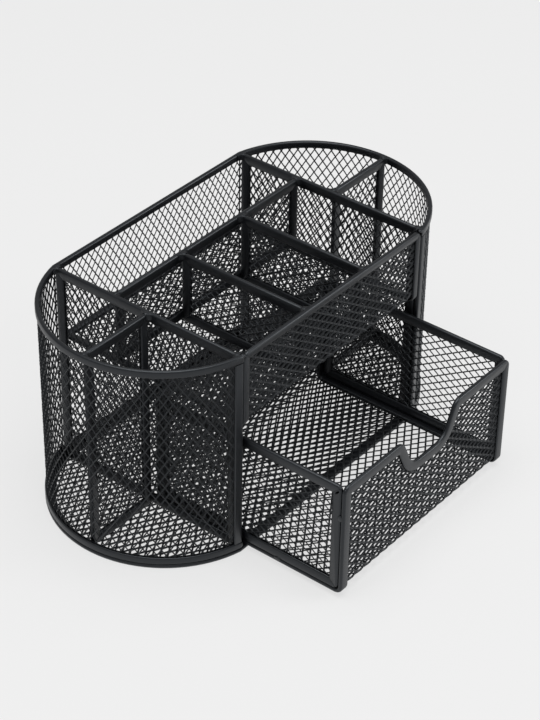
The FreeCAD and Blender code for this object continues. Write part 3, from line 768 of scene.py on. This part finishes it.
def postStrip(node, side):
    lowest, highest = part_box(node)
    start = (side * innerHalf, midY - wallSide, lowest[2])
    piece = lineOfEdges(node + "_strip", 2, 1, start, highest[2] - lowest[2])
    sweepOn((side * (wallCorner - innerHalf), 0, 0))
    outer = max(abs(lowest[0]), abs(highest[0]))
    turn = wallTurn - math.acos((outer - endCentre) / wallRadius)
    sweepRound((side * endCentre, midY, 0), (0, 0, 1), side * turn, strip["bendSteps"])
    foldStrip(piece, lambda co: abs(co.x) < innerHalf + strip["merge"], lambda face: not facesUp(face))
    finishPiece(piece, "stand", stripCoat, [node])


postStrip("near_front_post", -1)
postStrip("far_front_post", 1)


def baseStrip():
    lowest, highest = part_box("base_rim")
    corner = endCentre + math.sqrt(endRadius ** 2 - halfDepth ** 2)
    turn = math.asin(halfDepth / endRadius)
    piece = startPoint("base_rim_strip", (-corner, midY - halfDepth, (lowest[2] + highest[2]) / 2))
    sweepRound((-endCentre, midY, 0), (0, 0, 1), -2 * turn, strip["arcSteps"])
    sweepOn((2 * corner, 0, 0))
    sweepRound((endCentre, midY, 0), (0, 0, 1), -2 * turn, strip["arcSteps"])
    sweepOn((-2 * corner, 0, 0))
    ringFromOutline()
    foldStrip(piece, lambda co: not insideBase(co, strip["merge"]), lambda face: True)
    finishPiece(piece, "stand", stripCoat, ["base_rim"])


baseStrip()
print("wall and base strips made")


def diagonal(a, b, axes):        # as a joint at a corner is
    run, rise = [abs(a[axis] - b[axis]) for axis in axes]
    return run > mm and abs(rise - run) < strip["merge"]


def shelfStrip():
    lowest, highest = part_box("shelf_channel")
    half = highest[0]
    frontY = lowest[1] + stripThick / 2
    shelfZ = lowest[2] + stripThick / 2
    top, back = highest[2], highest[1]
    foldZ, foldY = shelfZ + sheetBend, frontY + sheetBend
    width, limit = strip["rimWidth"], strip["merge"]
    piece = startEmpty("shelf_strip")
    addRing("XZ", (-half, frontY, shelfZ - width), (half, frontY, top), width)
    cutAway(2, foldZ, -1)
    for sign in (-1, 1):
        roundCorner((0, 2), (sign * half, top), (sign, 1), strip["bendRadius"])
    addRing("XY", (-half, frontY - width, shelfZ), (half, back, shelfZ), width)
    cutAway(1, foldY, -1, lambda face: face.calc_center_median().z < shelfZ + limit)
    pick("edges", lambda edge: all(abs(vert.co.z - foldZ) < limit for vert in edge.verts))
    sweepRound((0, foldY, foldZ), (1, 0, 0), math.pi / 2, strip["bendSteps"])
    bpy.ops.mesh.select_all(action="SELECT")
    bpy.ops.mesh.remove_doubles(threshold=limit)
    splitMitres(lambda a, b: diagonal(a, b, (0, 2)) or diagonal(a, b, (0, 1)))

    def onOuter(co):
        rounding = insideRounded(co, (0, 2), (0, 0, 0), (half, top), strip["bendRadius"])
        return rounding < limit or co.y > back - limit

    foldStrip(piece, onOuter)
    finishPiece(piece, "stand", stripCoat, ["shelf_channel"])


shelfStrip()


def trayStrip():
    lowest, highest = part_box("drawer_tray_channel")
    half = highest[0]
    top = highest[2]
    frontY = lowest[1] + stripThick / 2
    backY = highest[1] - stripThick / 2
    floorZ = lowest[2] + stripThick / 2
    foldZ = floorZ + sheetBend
    middleY = (frontY + backY) / 2
    limit = strip["merge"]
    shoulderZ = top - notch["shoulderRadius"]
    rootX, rootZ = notch["bottomHalf"], top - notch["depth"] + notch["rootRadius"]
    under = foldZ - floorZ + strip["width"]

    def sweepNotch(x, z, turn):
        sweepRound((x, frontY, z), (0, 1, 0), turn * notch["angle"], notch["steps"])

    piece = startPoint("drawer_tray_strip", (-half, frontY, top))
    sweepOn((half - topHalf, 0, 0))
    sweepNotch(-topHalf, shoulderZ, 1)
    sweepOn((flank * notchCosine, 0, -flank * notchSine))
    sweepNotch(-rootX, rootZ, -1)
    sweepOn((2 * rootX, 0, 0))
    sweepNotch(rootX, rootZ, -1)
    sweepOn((flank * notchCosine, 0, flank * notchSine))
    sweepNotch(topHalf, shoulderZ, 1)
    sweepOn((half - topHalf, 0, 0))
    sweepOn((0, 0, floorZ - under - top))
    sweepOn((-2 * half, 0, 0))
    sweepOn((0, 0, top + under - floorZ))
    ringFromOutline()
    addRing("XZ", (-half, backY, floorZ - under), (half, backY, top))
    cutAway(2, foldZ, -1)
    for sign in (-1, 1):
        roundCorner((0, 2), (sign * half, top), (sign, 1), strip["bendRadius"])
    pick("edges", lambda edge: all(abs(vert.co.z - foldZ) < limit and vert.co.y < middleY
                                   for vert in edge.verts))
    sweepRound((0, frontY + sheetBend, foldZ), (1, 0, 0), math.pi / 2, strip["bendSteps"])
    sweepOn((0, backY - frontY - 2 * sheetBend, 0))
    sweepRound((0, backY - sheetBend, foldZ), (1, 0, 0), math.pi / 2, strip["bendSteps"])
    bpy.ops.mesh.select_all(action="SELECT")
    bpy.ops.mesh.remove_doubles(threshold=limit)
    cornerX = half - strip["bendRadius"]
    splitMitres(lambda a, b: diagonal(a, b, (0, 2)) and max(abs(a.x), abs(b.x)) > cornerX)

    def onOuter(co):
        rounding = insideRounded(co, (0, 2), (0, 0, 0), (half, top), strip["bendRadius"])
        inNotch = co.y < middleY and abs(co.x) < topHalf + limit
        return rounding < limit or (inNotch and co.z > notchHeight(co.x, top, 0) - notch["slack"])

    def isLip(face):
        return squareEnd(face) or abs(face.calc_center_median().x) < half - strip["width"] - limit

    foldStrip(piece, onOuter, isLip)
    finishPiece(piece, "drawer", stripCoat, ["drawer_tray_channel"])


trayStrip()
print("folded strips made")

# Weld metal in the inner corners where the strips' top edges meet, a lump over each, and spot welds
weld = {
    "reach": 2.3 * mm,
    "drop": 3.2 * mm,
    "edge": 0.5 * mm,
    "edgeSteps": 2,
    "steps": 5,
    "sink": 0.4 * mm,
    "smoothAngle": math.radians(40.0),
    "bead": (1.35 * mm, 1.35 * mm, 0.6 * mm),   # the lump over each joint
    "beadOut": 0.5 * mm,
    "beadDown": 0.4 * mm,
    "beadSegments": 14,
    "beadRings": 8,
    "spots": [
        # body, distance from the middle at either side, back from the front, up, three radii
        ("stand", 64.75 * mm, 1.0 * mm, 108.3 * mm, (1.25 * mm, 1.15 * mm, 0.85 * mm)),
        ("drawer", 63.0 * mm, 2.3 * mm, 45.5 * mm, (0.4 * mm, 1.3 * mm, 1.7 * mm)),
        ("drawer", 63.0 * mm, 36.0 * mm, 4.7 * mm, (0.4 * mm, 1.9 * mm, 0.9 * mm)),
    ],
}


# A corner filling with one hollow side; its two straight sides lie along X and Y
def weldCorner():
    reach, sink, limit = weld["reach"], weld["sink"], strip["merge"]

    def onHollow(co):                # along the top of the hollow side
        return co.z > -limit and abs(math.hypot(co.x - reach, co.y - reach) - reach) < limit

    piece = startPoint("weld_corner", (reach, -sink, 0))
    sweepOn((-reach - sink, 0, 0))
    sweepOn((0, reach + sink, 0))
    sweepOn((sink, 0, 0))
    sweepRound((reach, reach, 0), (0, 0, 1), math.pi / 2, weld["steps"])
    bpy.ops.mesh.select_all(action="SELECT")
    bpy.ops.mesh.edge_face_add()
    sweepOn((0, 0, -weld["drop"]))
    bpy.ops.mesh.select_all(action="SELECT")
    bpy.ops.mesh.normals_make_consistent(inside=False)
    pick("edges", lambda edge: all(onHollow(vert.co) for vert in edge.verts))
    bpy.ops.mesh.bevel(offset=weld["edge"], segments=weld["edgeSteps"], affect="EDGES")
    bpy.ops.mesh.select_all(action="SELECT")
    bpy.ops.mesh.remove_doubles(threshold=limit)         # the bevel's ends double a few points
    objectMode()
    return piece


def copyTo(shape, place, turn=0, size=(1, 1, 1)):
    alone(shape)
    bpy.ops.object.duplicate()
    twin = bpy.context.object
    twin.location = place
    twin.rotation_euler = (0, 0, turn)
    twin.scale = size
    applyPlace()
    return twin


def joinAll(name, shapes):
    bpy.ops.object.select_all(action="DESELECT")
    for shape in shapes:
        shape.select_set(True)
    bpy.context.view_layer.objects.active = shapes[0]
    bpy.ops.object.join()
    piece = startPiece(name)
    bpy.ops.object.shade_smooth_by_angle(angle=weld["smoothAngle"])
    return piece


quarterTurns = {(1, 1): 0, (-1, 1): 1, (-1, -1): 2, (1, -1): 3}


# The two corners where a panel meets a strip; runs is the way the panel goes from it
def teeJoint(shape, place, runs, top):
    made = []
    for side in (-1, 1):
        corner = [place[0], place[1], top]
        corner[0 if runs[1] else 1] += side * stripThick / 2
        signs = (side, runs[1]) if runs[1] else (runs[0], side)
        made.append(copyTo(shape, corner, quarterTurns[signs] * math.pi / 2))
    return made


def wallInside(x):               # half the wall's inner depth at a distance from the middle
    radius = endRadius - stripThick
    return math.sqrt(radius ** 2 - (x - endCentre) ** 2)


def addWelds():
    top = high("top_rim_rear")[2]
    outerHalf = straightHalf + stripThick / 2
    inFront = midY - halfDepth + stripThick
    dividerY = middle("long_divider_frame")[1]
    endDividerY = middle("near_end_divider_frame")[1]
    endInside = halfLength - stripThick
    joints = []
    for side in (-1, 1):
        crossX = side * straightHalf
        joints.append(((crossX, midY - wallInside(outerHalf)), (0, 1)))
        joints.append(((crossX, midY + wallInside(outerHalf)), (0, -1)))
        joints.append(((side * innerHalf, dividerY), (-side, 0)))
        joints.append(((side * outerHalf, endDividerY), (side, 0)))
        joints.append(((side * endInside, endDividerY), (-side, 0)))
    for node in ("near_pen_divider_frame", "far_pen_divider_frame"):
        penX = middle(node)[0]
        joints.append(((penX, inFront), (0, 1)))
        joints.append(((penX, dividerY - stripThick / 2), (0, -1)))
    shape = weldCorner()
    fronts = {"stand": low("shelf_channel")[1], "drawer": low("drawer_tray_channel")[1]}
    made = {"stand": [], "drawer": []}
    bpy.ops.object.select_all(action="DESELECT")
    bpy.ops.mesh.primitive_uv_sphere_add(segments=weld["beadSegments"], ring_count=weld["beadRings"],
                                         radius=1)
    bead = startPiece("weld_bead")
    for place, runs in joints:
        made["stand"] += teeJoint(shape, place, runs, top)
        centre = [place[axis] + runs[axis] * weld["beadOut"] for axis in (0, 1)] + [top - weld["beadDown"]]
        made["stand"].append(copyTo(bead, centre, 0, weld["bead"]))
    for body, away, behind, up, radii in weld["spots"]:
        for side in (-1, 1):
            made[body].append(copyTo(bead, (side * away, fronts[body] + behind, up), 0, radii))
    for extra in (shape, bead):
        alone(extra)
        bpy.ops.object.delete()
    for body, shapes in made.items():
        piece = joinAll(f"{body}_welds", shapes)
        finishPiece(piece, body, stripCoat)


addWelds()
print("welds made")

# Floor, light and camera
studio = {
    "floorSize": 6.0,
    "paper": (0.8, 0.8, 0.8, 1),
    "white": 0.856,              # the backdrop's brightness as the camera sees it
    "keepShadow": 0.24,          # the share of real light and shadow that the floor keeps
    "worldStrength": 0.36,
    "lamps": [
        # place, aimed at, size, watts
        ((-0.25, -0.1, 1.6), (0, 0, 0.05), 1.3, 21.0),
        ((1.1, -1.4, 0.7), (0, 0, 0.05), 0.8, 13.0),
    ],
}


# A white that the camera and reflections see at one level, and that keeps some shadow
def seenWhite(name, surface):
    shade = Shader(name)
    lit = shade.node("ShaderNodeBsdfDiffuse", None, {"Color": surface})
    glow = shade.node("ShaderNodeEmission", None,
                      {"Color": (studio["white"],) * 3 + (1,), "Strength": 1.0})
    cameraRay = shade.node("ShaderNodeLightPath", output="Is Camera Ray")
    glossyRay = shade.node("ShaderNodeLightPath", output="Is Glossy Ray")
    share = (cameraRay + glossyRay) * (1 - studio["keepShadow"])
    mixed = shade.node("ShaderNodeMixShader", None, [share, lit, glow])
    return shade.output(mixed)


bpy.ops.object.select_all(action="DESELECT")
bpy.ops.mesh.primitive_plane_add(size=studio["floorSize"], location=(0, 0, 0))
floor = startPiece("studioFloor")
floor.data.materials.append(seenWhite("floorPaper", studio["paper"]))

world = bpy.data.worlds.new("studioWorld")
bpy.context.scene.world = world
world.use_nodes = True
world.node_tree.nodes.clear()
skyOutput = world.node_tree.nodes.new("ShaderNodeOutputWorld")
sky = world.node_tree.nodes.new("ShaderNodeBackground")
sky.inputs["Color"].default_value = (1, 1, 1, 1)
sky.inputs["Strength"].default_value = studio["worldStrength"]
world.node_tree.links.new(sky.outputs[0], skyOutput.inputs[0])

for number, (place, aim, size, watts) in enumerate(studio["lamps"]):
    bpy.ops.object.light_add(type="AREA", location=place)
    lamp = bpy.context.object
    lamp.name = f"softLamp{number}"
    lamp.data.size = size
    lamp.data.energy = watts
    lamp.rotation_euler = (Vector(aim) - Vector(place)).to_track_quat("-Z", "Y").to_euler()

# The photograph's view of the stand: its direction, roll, distance and focal length
view = {
    "azimuth": -51.842,
    "elevation": 35.603,
    "roll": 1.018,
    "distance": 1041.475 * mm,
    "target": (4.273 * mm, -15.002 * mm, 50.0 * mm),   # from the middle of the stand
    "focalPixels": 2218.3,
    "imageHeight": 720,
    "sensor": 36.0,
}
azimuth, elevation, roll = [math.radians(view[key]) for key in ("azimuth", "elevation", "roll")]
back = Vector((math.sin(azimuth) * math.cos(elevation), -math.cos(azimuth) * math.cos(elevation),
               math.sin(elevation)))
level = (-back).cross(Vector((0, 0, 1))).normalized()
upright = level.cross(-back)
rightward = math.cos(roll) * level + math.sin(roll) * upright
upward = -math.sin(roll) * level + math.cos(roll) * upright
target = Vector(view["target"]) + Vector((0, midY, 0))
bpy.ops.object.camera_add(location=target + back * view["distance"])
camera = bpy.context.object
camera.name = "photoCamera"
camera.rotation_euler = Matrix((rightward, upward, back)).transposed().to_euler()
camera.data.sensor_fit = "VERTICAL"
camera.data.sensor_height = view["sensor"]
camera.data.lens = view["focalPixels"] / view["imageHeight"] * view["sensor"]
bpy.context.scene.camera = camera
bpy.context.scene.view_settings.view_transform = "Standard"
print("studio made")
